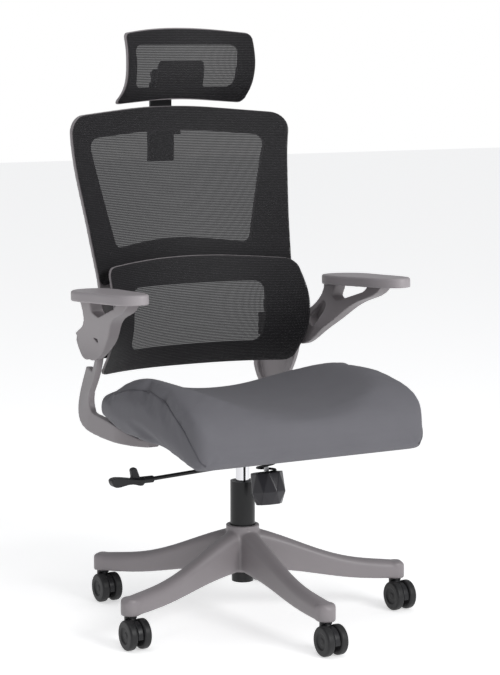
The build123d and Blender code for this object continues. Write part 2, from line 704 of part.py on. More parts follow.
def side_bar():
    """The right-hand J-shaped bar: a leg under the seat that turns up into a broad slanted blade."""
    out = -BAR_OUTER_X
    leg_z = PAN_BOTTOM_Z - 17
    foot_thickness = BAR_THICKNESS + 9
    stations = [
        ((out + 38, 20, leg_z + 17), (out + 38, 20, leg_z), foot_thickness),
        ((out + 17, 52, leg_z + 20), (out + 17, 52, leg_z - 1), foot_thickness),
        ((out + 2, 88, leg_z + 33), (out + 2, 88, leg_z), BAR_THICKNESS),
        ((out, 128, leg_z + 39), (out, 128, leg_z), BAR_THICKNESS),
        ((out, 178, leg_z + 44), (out, 186, leg_z + 2), BAR_THICKNESS),
        ((out, 206, leg_z + 51), (out + 3, 258, leg_z + 15), BAR_THICKNESS),
        ((out, 214, leg_z + 70), (out + 12, 290, leg_z + 46), BAR_THICKNESS),
        ((out, 203, leg_z + 97), (out + 29, 302, leg_z + 98), BAR_THICKNESS),
        ((out, 182, leg_z + 130), (out + 33, 284, leg_z + 142), BAR_THICKNESS),
        ((out, 170, leg_z + 160), (out + 30, 258, leg_z + 172), BAR_THICKNESS),
        ((out, 164, ARM_PIVOT_Z), (out + 22, 236, ARM_PIVOT_Z + 10), BAR_THICKNESS),
    ]
    blade = loft([bar_section(front, rear, thickness) for front, rear, thickness in stations])
    flange = block(out + 40, -FLANGE_INNER_X, -16, 42, PAN_BOTTOM_Z - FLANGE_THICKNESS, PAN_BOTTOM_Z)
    flange = fillet(flange.edges().filter_by(Axis.Z), 9)
    body = blade + flange
    top = bar_x(BOSS_R - 6, out + 0.1, out + BAR_THICKNESS, ARM_PIVOT_Y, ARM_PIVOT_Z)
    body = body + top
    limit_x = -BACK_LOWER_HALF_WIDTH
    body = body - block(limit_x, 0, 100, 330, ARM_PIVOT_Z - 62, ARM_PIVOT_Z + 90)
    body = body - block(limit_x - 1, 0, 100, LUMBAR_CLEAR_Y, ARM_PIVOT_Z - 105, ARM_PIVOT_Z + 90)
    body = body - block(out - 20, out + BAR_TRIM, -50, 330, leg_z - 30, ARM_PIVOT_Z + 90)
    recess = recess_tool()
    body = body - recess
    body = body - bar_x(ARM_PIN_R, out - 5, 0, ARM_PIVOT_Y, ARM_PIVOT_Z)
    for x, y in flange_screw_places():
        body = body - can(SCREW_R + HOLE_GAP, PAN_BOTTOM_Z - 20, PAN_BOTTOM_Z + 1, x, y)
    for _, y, z in back_screw_places():
        body = body - bar_x(SCREW_R, out - 1, -BACK_LOWER_HALF_WIDTH, y, z)
    return body


def recess_tool():
    """The long shallow recess along the blade's inner face."""
    out = -BAR_OUTER_X
    leg_z = PAN_BOTTOM_Z - 17
    depth = BAR_THICKNESS - 5
    stations = [
        ((out + 5, 226, leg_z + 66), (out + 14, 276, leg_z + 50)),
        ((out + 8.5, 222, leg_z + 97), (out + 28, 289, leg_z + 98)),
        ((out + 9, 202, leg_z + 126), (out + 32, 270, leg_z + 133)),
    ]
    return loft([bar_section(front, rear, depth + 30) for front, rear in stations])


# ---- curved panels ----

# Each station of a panel: height, half width, depth at the middle, depth at the edges.
BACK_STATIONS = [
    (520, 226, 262, 180),
    (600, 226, 258, 171),
    (670, 227, 260, 182),
    (740, 231, 273, 202),
    (804, 238, 284, 218),
    (887, 248, 290, 238),
    (948, 252, 294, 247),
    (1035, 257, 304, 263),
]
BACK_LOWER_HALF_WIDTH = 226
BACK_BEND = 2.0
LUMBAR_STATIONS = [
    (478, 226, 240, 190),
    (505, 226, 225, 163),
    (540, 226, 212, 134),
    (597, 226, 202, 111),
    (640, 226, 203, 117),
    (680, 226, 209, 136),
    (724, 226, 219, 166),
]
LUMBAR_BEND = 2.6
HEADREST_STATIONS = [
    (1020, 149, 292, 266),
    (1054, 149, 266, 226),
    (1078, 149, 256, 209),
    (1111, 149, 250, 203),
    (1140, 149, 252, 206),
    (1165, 149, 258, 215),
    (1192, 149, 268, 229),
]
HEADREST_BEND = 2.2


def panel_depth(station, share, bend):
    """Depth of a panel's front face at a share of its half width."""
    _, _, middle, edge = station
    return middle - (middle - edge) * abs(share) ** bend


def panel(stations, bend, near, far, overhang=1.03):
    """A curved slab behind a panel's front face, from one offset to another."""
    shares = [-overhang + 2 * overhang * index / 8 for index in range(9)]
    sections = []
    for station in stations:
        height, half = station[0], station[1]
        front = [(half * share, panel_depth(station, share, bend) + near) for share in shares]
        back = [(half * share, panel_depth(station, share, bend) + far) for share in shares]
        edges = [
            Spline(*front),
            Line(front[-1], back[-1]),
            Spline(*back[::-1]),
            Line(back[0], front[0]),
        ]
        sections.append(Pos(0, 0, height) * make_face(Curve() + edges))
    return loft(sections)


def back_outline():
    half = [(-225, 667), (-236, 790), (-247, 887), (-257, 1004), (0, 1026)]
    radii = [14, 500, 500, 38, 1200, 38, 500, 500, 14]
    return rounded(mirrored(half), radii)


def back_window():
    points = [(0, 752), (-157, 734), (-208, 958), (0, 975), (208, 958), (157, 734)]
    return rounded(points, [700, 16, 20, 1200, 20, 16])


def back_frame():
    """The back's moulded frame, with its cross rail and the two stiles that run down to the bars."""
    slab = panel(BACK_STATIONS, BACK_BEND, MESH_THICKNESS, MESH_THICKNESS + BACK_FRAME_THICKNESS)
    ring_part = front_prism(back_outline(), 100, 400) - front_prism(back_window(), 90, 410)
    body = slab & ring_part
    ear_x = BACK_LOWER_HALF_WIDTH
    for side in (-1, 1):
        stile = rounded(
            [
                (side * 176, 700),
                (side * (ear_x + 4), 700),
                (side * ear_x, ARM_PIVOT_Z - 24),
                (side * 186, ARM_PIVOT_Z - 24),
            ],
            [10, 4, 4, 14],
        )
        rail = slab & front_prism(stile, 100, 400)
        rail = rail & block(-ear_x, ear_x, 100, 400, ARM_PIVOT_Z - 40, 800)
        body = body + rail
        low, high = sorted((side * ear_x, side * (ear_x - EAR_THICKNESS)))
        ear = bar_x(BOSS_R - 5, low, high, ARM_PIVOT_Y, ARM_PIVOT_Z)
        body = body + ear
    body = body - bar_x(ARM_PIN_R, -400, 400, ARM_PIVOT_Y, ARM_PIVOT_Z)
    for x, y, z in back_screw_places():
        body = body - bar_x(SCREW_R, x - 12, x + 12, y, z)
    seat_half = socket_half() + REST_GAP
    return body - block(-seat_half, seat_half, SOCKET_SEAT_Y, 400, 900, 1060)


def back_screw_places():
    """The screws that hold each stile to its bar: side x of the ear's outer face, then y and z."""
    spread = BOSS_R - 17
    return [
        (side * BACK_LOWER_HALF_WIDTH, ARM_PIVOT_Y + step * spread * 0.8, ARM_PIVOT_Z - spread * 0.55)
        for side in (-1, 1)
        for step in (-1, 1)
    ]


def back_screws():
    screws = []
    for x, y, z in back_screw_places():
        side = math.copysign(1, x)
        low, high = sorted((x - side * (EAR_THICKNESS - 1), x + side * 8))
        screws.append(bar_x(SCREW_R, low, high, y, z))
    return screws


def back_mesh():
    return panel(BACK_STATIONS, BACK_BEND, 0, MESH_THICKNESS) & front_prism(back_outline(), 100, 400)


# ---- lumbar panel ----

def lumbar_outline():
    half = [(-224, 484), (-227, 540), (-226, 640), (-218, 704), (0, 718)]
    radii = [16, 400, 400, 22, 1500, 22, 400, 400, 16]
    return rounded(mirrored(half), radii)


def lumbar_frame():
    slab = panel(LUMBAR_STATIONS, LUMBAR_BEND, MESH_THICKNESS, MESH_THICKNESS + LUMBAR_FRAME_THICKNESS)
    window = rounded([(-154, 530), (154, 530), (154, 658), (-154, 658)], [18] * 4)
    body = slab & (front_prism(lumbar_outline(), 60, 330) - front_prism(window, 50, 340))
    for side in (-1, 1):
        low, high = sorted((side * 158, side * 178))
        shoe = block(low, high, 176, LUMBAR_GUIDE_Y, 540, 588)
        body = body + (shoe - panel(LUMBAR_STATIONS, LUMBAR_BEND, -80, MESH_THICKNESS))
    return body


def lumbar_mesh():
    return panel(LUMBAR_STATIONS, LUMBAR_BEND, 0, MESH_THICKNESS) & front_prism(lumbar_outline(), 60, 330)


def lumbar_brackets():
    """A guide on each stile that the lumbar frame's shoes slide up and down on."""
    guides = []
    for side in (-1, 1):
        low, high = sorted((side * 156, side * (BACK_LOWER_HALF_WIDTH - EAR_THICKNESS)))
        guide = block(low, high, LUMBAR_GUIDE_Y + RUN_GAP, LUMBAR_GUIDE_Y + 7, 535 - LUMBAR_TRAVEL,
                      592 + LUMBAR_TRAVEL)
        guide = guide - panel(BACK_STATIONS, BACK_BEND, -40, MESH_THICKNESS + BACK_FRAME_THICKNESS)
        guides.append(guide)
    return guides


# ---- headrest ----

def socket_half():
    return POST_WIDTH / 2 + 4


def headrest_socket():
    """A sleeve on the back's top rail that the post slides in."""
    half = socket_half()
    body = block(-half, half, POST_Y - POST_THICKNESS / 2 - 4, POST_Y + POST_THICKNESS / 2 + 4,
                 905, 1004)
    body = fillet(body.edges().filter_by(Axis.Z), 4)
    bridge = block(-half, half, SOCKET_SEAT_Y, POST_Y - POST_THICKNESS / 2, 962, 1004)
    body = body + bridge
    gap = RUN_GAP
    room = block(-POST_WIDTH / 2 - gap, POST_WIDTH / 2 + gap, POST_Y - POST_THICKNESS / 2 - gap,
                 POST_Y + POST_THICKNESS / 2 + gap, 900, 1010)
    return body - room


def headrest_post():
    body = block(-POST_WIDTH / 2, POST_WIDTH / 2, POST_Y - POST_THICKNESS / 2, POST_Y + POST_THICKNESS / 2,
                 POST_BOTTOM_Z - 15, POST_TOP_Z - 30)
    body = fillet(body.edges().filter_by(Axis.Z), 2)
    for side in (-1, 1):
        low, high = sorted((side * 14, side * 20))
        arm = block(low, high, HINGE_Y - 2, POST_Y + POST_THICKNESS / 2, HINGE_Z - 22, HINGE_Z + 4)
        body = body + arm + bar_x(8, low, high, HINGE_Y, HINGE_Z)
    return body - bar_x(HINGE_PIN_R, -60, 60, HINGE_Y, HINGE_Z)


def headrest_hinge_pin():
    return bar_x(HINGE_PIN_R, -34, 34, HINGE_Y, HINGE_Z)


def headrest_bracket():
    """A yoke on the back of the headrest's frame that turns on the hinge pin."""
    slab = panel(HEADREST_STATIONS, HEADREST_BEND, MESH_THICKNESS + HEADREST_FRAME_THICKNESS,
                 MESH_THICKNESS + HEADREST_FRAME_THICKNESS + 7)
    plate = rounded([(-54, 1064), (54, 1064), (50, 1112), (-50, 1112)], [8] * 4)
    body = slab & front_prism(plate, 200, 330)
    for side in (-1, 1):
        for start in (6, 21):
            low, high = sorted((side * start, side * (start + 7)))
            rib = block(low, high, 262, HINGE_Y, HINGE_Z - 9, HINGE_Z + 9)
            body = body + rib + bar_x(9, low, high, HINGE_Y, HINGE_Z)
    cover = panel(HEADREST_STATIONS, HEADREST_BEND, -60, MESH_THICKNESS + HEADREST_FRAME_THICKNESS)
    body = body - cover
    return body - bar_x(HINGE_PIN_R + RUN_GAP, -60, 60, HINGE_Y, HINGE_Z)


def headrest_outline():
    half = [(0, 1038), (-150, 1027), (-147, 1060), (-149, 1110), (-147, 1172), (0, 1189)]
    radii = [900, 9, 200, 400, 12, 900, 12, 400, 200, 9]
    return rounded(mirrored(half), radii)


def headrest_frame():
    near, far = MESH_THICKNESS, MESH_THICKNESS + HEADREST_FRAME_THICKNESS
    slab = panel(HEADREST_STATIONS, HEADREST_BEND, near, far)
    window = rounded([(-114, 1062), (114, 1062), (120, 1148), (-120, 1148)], [14] * 4)
    body = slab & (front_prism(headrest_outline(), 150, 350) - front_prism(window, 140, 360))
    bridge = rounded([(-56, 1058), (56, 1058), (52, 1116), (-52, 1116)], [8] * 4)
    tie = rounded([(-34, 1040), (34, 1040), (34, 1112), (-34, 1112)], [8] * 4)
    back_skin = panel(HEADREST_STATIONS, HEADREST_BEND, far - 4, far)
    return body + (back_skin & front_prism(bridge, 150, 350)) + (back_skin & front_prism(tie, 150, 350))


def headrest_mesh():
    slab = panel(HEADREST_STATIONS, HEADREST_BEND, 0, MESH_THICKNESS)
    return slab & front_prism(headrest_outline(), 150, 350)


# ---- arms ----

def arm_inner_x():
    return BAR_OUTER_X + SWING_GAP


def pad_drop():
    """How much lower the sloping pad is at its rear end than where its height is given."""
    return (PAD_REAR_Y - 100) * math.tan(math.radians(PAD_RISE_DEG))


def arm_bracket():
    """The right-hand arm: a boss at the pivot, a swept stem and a fork up to the pad."""
    pad_z = PAD_REAR_TOP_Z - PAD_THICKNESS
    slope = math.tan(math.radians(PAD_RISE_DEG))
    front_z = pad_z + slope * 188
    lower = Spline(
        (-88, front_z + 4),
        (-62, front_z - 18),
        (-20, front_z - 33),
        (16, front_z - 50),
        (56, front_z - 80),
        (90, front_z - 103),
        (135, ARM_PIVOT_Z - 20),
        (ARM_PIVOT_Y - 22, ARM_PIVOT_Z - 31),
    )
    rear = Spline(
        (ARM_PIVOT_Y + 24, ARM_PIVOT_Z + 20),
        (ARM_PIVOT_Y - 6, ARM_PIVOT_Z + 32),
        (ARM_PIVOT_Y - 46, ARM_PIVOT_Z + 52),
        (130, ARM_PIVOT_Z + 82),
        (134, pad_z + 4),
    )
    outline = Curve() + [
        lower,
        Line(lower @ 1, rear @ 0),
        rear,
        Line(rear @ 1, lower @ 0),
    ]
    inner = arm_inner_x()
    side = side_prism(outline, -340, -inner)
    boss = bar_x(BOSS_R, -inner - BOSS_THICKNESS, -inner, ARM_PIVOT_Y, ARM_PIVOT_Z)
    inner_edge = Spline(
        (-inner, ARM_PIVOT_Z - 60),
        (-inner, ARM_PIVOT_Z + 14),
        (-inner - 14, ARM_PIVOT_Z + 50),
        (-inner - 32, pad_z + 30),
    )
    outer_edge = Spline(
        (-inner - 58, pad_z + 30),
        (-inner - 42, ARM_PIVOT_Z + 54),
        (-inner - BOSS_THICKNESS - 4, ARM_PIVOT_Z + 16),
        (-inner - BOSS_THICKNESS, ARM_PIVOT_Z - 60),
    )
    strip = Curve() + [
        inner_edge,
        Line(inner_edge @ 1, outer_edge @ 0),
        outer_edge,
        Line(outer_edge @ 1, inner_edge @ 0),
    ]
    trimmed = front_prism(strip, -160, 300)
    body = (trimmed & side) + (boss & trimmed)
    hole = rounded(
        [(84, pad_z + 10), (-46, pad_z + 16), (-22, front_z - 15), (66, front_z - 42), (88, front_z - 34)],
        [2, 6, 20, 8, 6],
    )
    body = body - side_prism(hole, -360, -200)
    pad_plane = Pos(0, PAD_REAR_Y, pad_z - pad_drop()) * Rot(-PAD_RISE_DEG, 0, 0)
    pad_under = pad_plane * block(-400, -200, -400, 100, 0, 80)
    body = body - pad_under
    body = body - arm_channel(inner)
    return body - bar_x(ARM_PIN_R + RUN_GAP, -inner - BOSS_THICKNESS + 8, 0, ARM_PIVOT_Y, ARM_PIVOT_Z)


def arm_channel(inner):
    """The hollow along the inner side of the arm's stem."""
    outline = rounded(
        [
            (122, ARM_PIVOT_Z + 10),
            (150, ARM_PIVOT_Z + 26),
            (118, ARM_PIVOT_Z + 66),
            (92, ARM_PIVOT_Z + 62),
        ],
        [8, 10, 8, 14],
    )
    return side_prism(outline, -inner - 24, -inner + 5)


def arm_pad():
    """The right-hand pad: narrow behind, broad and round in front."""
    inner = -248
    outer = -336
    outline = Spline(
        (inner - 22, 0),
        (outer + 30, 0),
        (outer + 6, -26),
        (outer, -PAD_LENGTH * 0.46),
        (outer + 4, -PAD_LENGTH * 0.8),
        (outer + 26, -PAD_LENGTH + 6),
        (inner - 42, -PAD_LENGTH),
        (inner - 18, -PAD_LENGTH + 30),
        (inner - 4, -PAD_LENGTH * 0.5),
        (inner - 4, -22),
        periodic=True,
    )
    body = extrude(make_face(outline), PAD_THICKNESS)
    body = fillet(body.edges().group_by(Axis.Z)[-1], PAD_THICKNESS * 0.2)
    lean = Rot(-PAD_RISE_DEG, 0, 0)
    return Pos(0, PAD_REAR_Y, PAD_REAR_TOP_Z - PAD_THICKNESS - pad_drop()) * lean * body


def arm_pivot_pins():
    low = -arm_inner_x() - BOSS_THICKNESS + 9
    high = -BACK_LOWER_HALF_WIDTH + EAR_THICKNESS
    return both_sides(bar_x(ARM_PIN_R, low, high, ARM_PIVOT_Y, ARM_PIVOT_Z))


def build_base():
    save("star_base", star_base())
    places = caster_places()
    for index, (x, y) in enumerate(places, start=1):
        save(f"caster_hood_{index}", caster_hood(x, y))
        save(f"caster_pins_{index}", caster_pins(x, y))
        save(f"caster_wheel_right_{index}", caster_wheel(x, y, -1))
        save(f"caster_wheel_left_{index}", caster_wheel(x, y, 1))
    save("caster_grip_rings", [grip_ring(x, y) for x, y in places])
    save("lift_outer_tube", lift_outer_tube())
    save("lift_guide_bush", lift_guide_bush())
    save("lift_thrust_bearing", lift_thrust_bearing())
    save("lift_retaining_clip", lift_retaining_clip())
    save("lift_piston_rod", lift_piston_rod())
    save("lift_cylinder", lift_cylinder())
    save("lift_valve_button", lift_valve_button())


def build_mechanism():
    save("tilt_housing", tilt_housing())
    save("tilt_pivot_pin", tilt_pivot_pin())
    save("seat_plate", seat_plate())
    save("tension_bolt", tension_bolt())
    save("tension_spring", tension_spring())
    save("tension_knob", tension_knob())
    save("lever_rod", lever_rod())
    save("lever_bush", lever_bush())
    save("lever_handle", lever_handle())


def build_seat():
    save("seat_cushion", seat_cushion())
    save("seat_pan", seat_pan())
    save("seat_screws", seat_screws())
    right_bar, left_bar = both_sides(side_bar())
    save("side_bar_right", right_bar)
    save("side_bar_left", left_bar)


def build_back():
    save("back_frame", back_frame())
    save("back_mesh", back_mesh())
    save("back_screws", back_screws())
    save("lumbar_frame", lumbar_frame())
    save("lumbar_mesh", lumbar_mesh())
    save("lumbar_brackets", lumbar_brackets())
    save("headrest_socket", headrest_socket())
    save("headrest_post", headrest_post())
    save("headrest_hinge_pin", headrest_hinge_pin())
    save("headrest_bracket", headrest_bracket())
    save("headrest_frame", headrest_frame())
    save("headrest_mesh", headrest_mesh())


def build_arms():
    right_bracket, left_bracket = both_sides(arm_bracket())
    save("arm_bracket_right", right_bracket)
    save("arm_bracket_left", left_bracket)
    right_pad, left_pad = both_sides(arm_pad())
    save("arm_pad_right", right_pad)
    save("arm_pad_left", left_pad)
    save("arm_pivot_pins", arm_pivot_pins())


os.makedirs("parts", exist_ok=True)
build_base()
build_mechanism()
build_seat()
build_back()
build_arms()
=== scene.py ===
import math

import bmesh
import bpy
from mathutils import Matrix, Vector
from mathutils.bvhtree import BVHTree
from mathutils.geometry import intersect_point_line


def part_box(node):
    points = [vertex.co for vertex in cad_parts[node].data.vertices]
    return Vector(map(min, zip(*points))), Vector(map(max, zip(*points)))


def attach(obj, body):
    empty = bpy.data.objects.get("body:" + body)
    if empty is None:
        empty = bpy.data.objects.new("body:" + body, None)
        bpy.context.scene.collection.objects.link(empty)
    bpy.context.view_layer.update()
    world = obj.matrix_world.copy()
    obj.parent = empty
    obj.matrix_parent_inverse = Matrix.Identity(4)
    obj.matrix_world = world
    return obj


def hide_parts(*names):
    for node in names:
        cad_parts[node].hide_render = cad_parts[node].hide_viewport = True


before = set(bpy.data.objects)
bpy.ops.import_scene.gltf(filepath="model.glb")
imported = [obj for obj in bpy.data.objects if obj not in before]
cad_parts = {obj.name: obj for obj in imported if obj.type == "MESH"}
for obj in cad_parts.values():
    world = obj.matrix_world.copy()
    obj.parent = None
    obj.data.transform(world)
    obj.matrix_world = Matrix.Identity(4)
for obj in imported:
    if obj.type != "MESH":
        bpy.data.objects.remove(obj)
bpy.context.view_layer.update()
bpy.ops.object.select_all(action="DESELECT")


# ---- studio ----
# A pale floor under soft studio light: a broad light in front, a weaker one overhead, and a white
# surround that shows through the chair's open meshes.

CAMERA_PLACE = (-2.1555, -3.7812, 1.1677)
CAMERA_LOOK = Vector((0.4906, 0.8607, -0.1362))
CAMERA_LENS = 117.26
CAMERA_SHIFT = 0.0111
CHAIR_MIDDLE = Vector((0, 0, 0.6))
ROOM_LIGHT = 0.46

camera_data = bpy.data.cameras.new("studio_camera")
camera = bpy.data.objects.new("studio_camera", camera_data)
bpy.context.scene.collection.objects.link(camera)
camera.location = CAMERA_PLACE
camera.rotation_euler = CAMERA_LOOK.to_track_quat("-Z", "Y").to_euler()
camera_data.lens = CAMERA_LENS
camera_data.shift_x = CAMERA_SHIFT
camera_data.clip_end = 60
bpy.context.scene.camera = camera

surround = bpy.data.worlds.new("bright_surround")
surround.use_nodes = True
surround_nodes = surround.node_tree.nodes
surround_links = surround.node_tree.links
backdrop = surround_nodes["Background"]
backdrop.inputs["Color"].default_value = (1.0, 1.0, 1.0, 1)
backdrop.inputs["Strength"].default_value = 1.0
room_light = surround_nodes.new("ShaderNodeBackground")
room_light.inputs["Color"].default_value = (0.97, 0.98, 1.0, 1)
room_light.inputs["Strength"].default_value = ROOM_LIGHT
seen_or_lit = surround_nodes.new("ShaderNodeMixShader")
ray_kind = surround_nodes.new("ShaderNodeLightPath")
surround_links.new(ray_kind.outputs["Is Camera Ray"], seen_or_lit.inputs["Fac"])
surround_links.new(room_light.outputs["Background"], seen_or_lit.inputs[1])
surround_links.new(backdrop.outputs["Background"], seen_or_lit.inputs[2])
surround_links.new(seen_or_lit.outputs["Shader"], surround_nodes["World Output"].inputs["Surface"])
bpy.context.scene.world = surround
bpy.context.scene.view_settings.view_transform = "Standard"


def studio_light(name, place, size, power):
    """A square soft light at a place, turned to the middle of the chair."""
    lamp_data = bpy.data.lights.new(name, "AREA")
    lamp_data.size = size
    lamp_data.energy = power
    lamp = bpy.data.objects.new(name, lamp_data)
    lamp.location = place
    lamp.rotation_euler = (CHAIR_MIDDLE - Vector(place)).to_track_quat("-Z", "Y").to_euler()
    bpy.context.scene.collection.objects.link(lamp)


studio_light("key_light", (1.1, -4.2, 2.5), 1.8, 120)
studio_light("top_light", (-0.6, -0.8, 4.2), 2.2, 28)

bpy.ops.mesh.primitive_plane_add(size=30, location=(0, 0, -0.0005))
floor = bpy.context.object
floor.name = "studio_floor"
floor_paint = bpy.data.materials.new("pale_floor")
floor_paint.use_nodes = True
floor_shader = floor_paint.node_tree.nodes["Principled BSDF"]
floor_shader.inputs["Base Color"].default_value = (0.85, 0.85, 0.85, 1)
floor_shader.inputs["Roughness"].default_value = 0.8
floor_shader.inputs["Emission Color"].default_value = (1, 1, 1, 1)
floor_shader.inputs["Emission Strength"].default_value = 0.5
floor.data.materials.append(floor_paint)
floor.select_set(False)


# ---- star base ----
# One injection moulding in warm grey nylon: a conical hub with five S-shaped arms that end in round
# caster sockets. Its skin is satin with a fine spark-eroded grain.

def group_socket(group, name, way, kind="NodeSocketFloat", value=None):
    socket = group.interface.new_socket(name=name, in_out=way, socket_type=kind)
    if value is not None:
        socket.default_value = value


def moulded_grain_group():
    """Fine raised grain and a faint unevenness of shade, both over Object coordinates."""
    group = bpy.data.node_groups.new("moulded_grain", "ShaderNodeTree")
    group_socket(group, "Grain Size", "INPUT", value=900.0)
    group_socket(group, "Shade Size", "INPUT", value=9.0)
    group_socket(group, "Grain", "OUTPUT")
    group_socket(group, "Shade", "OUTPUT")
    nodes, links = group.nodes, group.links
    entry = nodes.new("NodeGroupInput")
    leave = nodes.new("NodeGroupOutput")
    place = nodes.new("ShaderNodeTexCoord")
    grain = nodes.new("ShaderNodeTexNoise")
    grain.inputs["Detail"].default_value = 3
    cloud = nodes.new("ShaderNodeTexNoise")
    cloud.inputs["Detail"].default_value = 4
    links.new(place.outputs["Object"], grain.inputs["Vector"])
    links.new(place.outputs["Object"], cloud.inputs["Vector"])
    links.new(entry.outputs["Grain Size"], grain.inputs["Scale"])
    links.new(entry.outputs["Shade Size"], cloud.inputs["Scale"])
    links.new(grain.outputs["Fac"], leave.inputs["Grain"])
    links.new(cloud.outputs["Fac"], leave.inputs["Shade"])
    return group


moulded_grain = moulded_grain_group()


def grained_material(name, dark, light, roughness, grain_size=900, relief=0.06, **plain):
    """A shader whose colour drifts between two shades and whose skin carries the moulded grain."""
    material = bpy.data.materials.new(name)
    material.use_nodes = True
    nodes, links = material.node_tree.nodes, material.node_tree.links
    shader = nodes["Principled BSDF"]
    skin = nodes.new("ShaderNodeGroup")
    skin.node_tree = moulded_grain
    skin.inputs["Grain Size"].default_value = grain_size
    skin.inputs["Shade Size"].default_value = 9
    colour = nodes.new("ShaderNodeMix")
    colour.data_type = "RGBA"
    colour.inputs["A"].default_value = (*dark, 1)
    colour.inputs["B"].default_value = (*light, 1)
    gloss = nodes.new("ShaderNodeMapRange")
    gloss.inputs["To Min"].default_value = roughness - 0.05
    gloss.inputs["To Max"].default_value = roughness + 0.07
    bump = nodes.new("ShaderNodeBump")
    bump.inputs["Strength"].default_value = relief
    bump.inputs["Distance"].default_value = 0.0006
    links.new(skin.outputs["Shade"], colour.inputs["Factor"])
    links.new(colour.outputs["Result"], shader.inputs["Base Color"])
    links.new(skin.outputs["Shade"], gloss.inputs["Value"])
    links.new(gloss.outputs["Result"], shader.inputs["Roughness"])
    links.new(skin.outputs["Grain"], bump.inputs["Height"])
    links.new(bump.outputs["Normal"], shader.inputs["Normal"])
    for socket, value in plain.items():
        shader.inputs[socket.replace("_", " ")].default_value = value
    return material


warm_grey_nylon = grained_material("warm_grey_nylon", (0.215, 0.196, 0.205), (0.245, 0.225, 0.234), 0.44)


def apply_modifiers(piece):
    """Applies the piece's modifiers in order, with nothing else selected."""
    bpy.ops.object.select_all(action="DESELECT")
    bpy.context.view_layer.objects.active = piece
    piece.select_set(True)
    for modifier in list(piece.modifiers):
        bpy.ops.object.modifier_apply(modifier=modifier.name)
    piece.select_set(False)


def welded_copy(node, name):
    """A copy of a CAD node as a piece of its own, with its loose triangles joined."""
    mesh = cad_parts[node].data.copy()
    mesh.materials.clear()
    shell = bmesh.new()
    shell.from_mesh(mesh)
    bmesh.ops.remove_doubles(shell, verts=shell.verts, dist=1e-5)
    shell.to_mesh(mesh)
    shell.free()
    piece = bpy.data.objects.new(name, mesh)
    bpy.context.scene.collection.objects.link(piece)
    return piece


def moulded_piece(node, name, body, material, cell, passes):
    """The CAD shape with the soft edges of a moulding, from an even net that is relaxed a little."""
    piece = welded_copy(node, name)
    net = piece.modifiers.new("even_net", "REMESH")
    net.mode = "VOXEL"
    net.voxel_size = cell
    relax = piece.modifiers.new("soft_edges", "SMOOTH")
    relax.factor = 0.5
    relax.iterations = passes
    apply_modifiers(piece)
    for face in piece.data.polygons:
        face.use_smooth = True
    piece.data.materials.append(material)
    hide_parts(node)
    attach(piece, body)
    return piece


moulded_piece("star_base", "star_base_moulding", "base", warm_grey_nylon, 0.0022, 6)


# ---- casters ----
# Black nylon twin-wheel casters. Each hood covers the gap between two wheels with polyurethane treads,
# and turns on a zinc-plated stem that a grip ring holds in the base.

caster_nylon = grained_material("caster_nylon", (0.010, 0.010, 0.011), (0.017, 0.017, 0.019), 0.36,
                                 Specular_IOR_Level=0.3)
wheel_rubber = grained_material("wheel_rubber", (0.012, 0.012, 0.013), (0.020, 0.020, 0.021), 0.46,
                                relief=0.1, Specular_IOR_Level=0.3)
zinc_plate = grained_material("zinc_plate", (0.42, 0.42, 0.43), (0.55, 0.55, 0.56), 0.34, Metallic=1.0)


def finish_node(node, material):
    """Gives a carried-over CAD node its finish."""
    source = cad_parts[node]
    source.data.materials.clear()
    source.data.materials.append(material)


CASTER_COUNT = 5
for number in range(1, CASTER_COUNT + 1):
    moulded_piece(f"caster_hood_{number}", f"caster_hood_moulding_{number}", f"caster_{number}",
                  caster_nylon, 0.0012, 4)
    finish_node(f"caster_pins_{number}", zinc_plate)
    for hand in ("left", "right"):
        moulded_piece(f"caster_wheel_{hand}_{number}", f"caster_tyre_{hand}_{number}",
                      f"wheel_{hand}_{number}", wheel_rubber, 0.0011, 3)
finish_node("caster_grip_rings", zinc_plate)


# ---- gas lift ----
# A black powder-coated outer tube wedged in the hub, with a polished chrome cylinder that slides in
# its plastic guide bush. The rod, bearing and clip at its foot are plated steel.

black_powder_coat = grained_material("black_powder_coat", (0.010, 0.010, 0.011), (0.016, 0.016, 0.017),
                                     0.30, grain_size=1400, relief=0.05, Specular_IOR_Level=0.3)
polished_chrome = grained_material("polished_chrome", (0.66, 0.66, 0.68), (0.74, 0.74, 0.76), 0.10,
                                   relief=0.01, Metallic=1.0)
black_nylon = grained_material("black_nylon", (0.012, 0.012, 0.013), (0.018, 0.018, 0.020), 0.40,
                                Specular_IOR_Level=0.3)

finish_node("lift_outer_tube", black_powder_coat)
finish_node("lift_guide_bush", black_nylon)
finish_node("lift_cylinder", polished_chrome)
for steel_part in ("lift_thrust_bearing", "lift_retaining_clip", "lift_piston_rod", "lift_valve_button"):
    finish_node(steel_part, zinc_plate)


# ---- tilt mechanism and controls ----
# A pressed and powder-coated steel housing and seat plate, a coil spring on a bolt with a large
# faceted knob to set its tension, and a bent rod with a moulded handle that lifts the valve.

for pressed_part in ("tilt_housing", "seat_plate", "lever_rod", "tension_spring"):
    finish_node(pressed_part, black_powder_coat)
for plated_part in ("tilt_pivot_pin", "tension_bolt"):
    finish_node(plated_part, zinc_plate)
finish_node("lever_bush", black_nylon)
knob_nylon = grained_material("knob_nylon", (0.016, 0.015, 0.019), (0.024, 0.023, 0.028), 0.30,
                               Specular_IOR_Level=0.4)
moulded_piece("tension_knob", "tension_knob_moulding", "knob", knob_nylon, 0.0012, 2)
moulded_piece("lever_handle", "lever_handle_moulding", "lever", black_nylon, 0.0010, 5)


# ---- seat cushion ----
# Moulded foam on a nylon pan, with high side wings, a dipped middle and a waterfall front, covered in
# smooth slate cloth. A flat side panel is sewn to the top with a corded seam on each side.

finish_node("seat_pan", black_nylon)
finish_node("seat_screws", black_powder_coat)


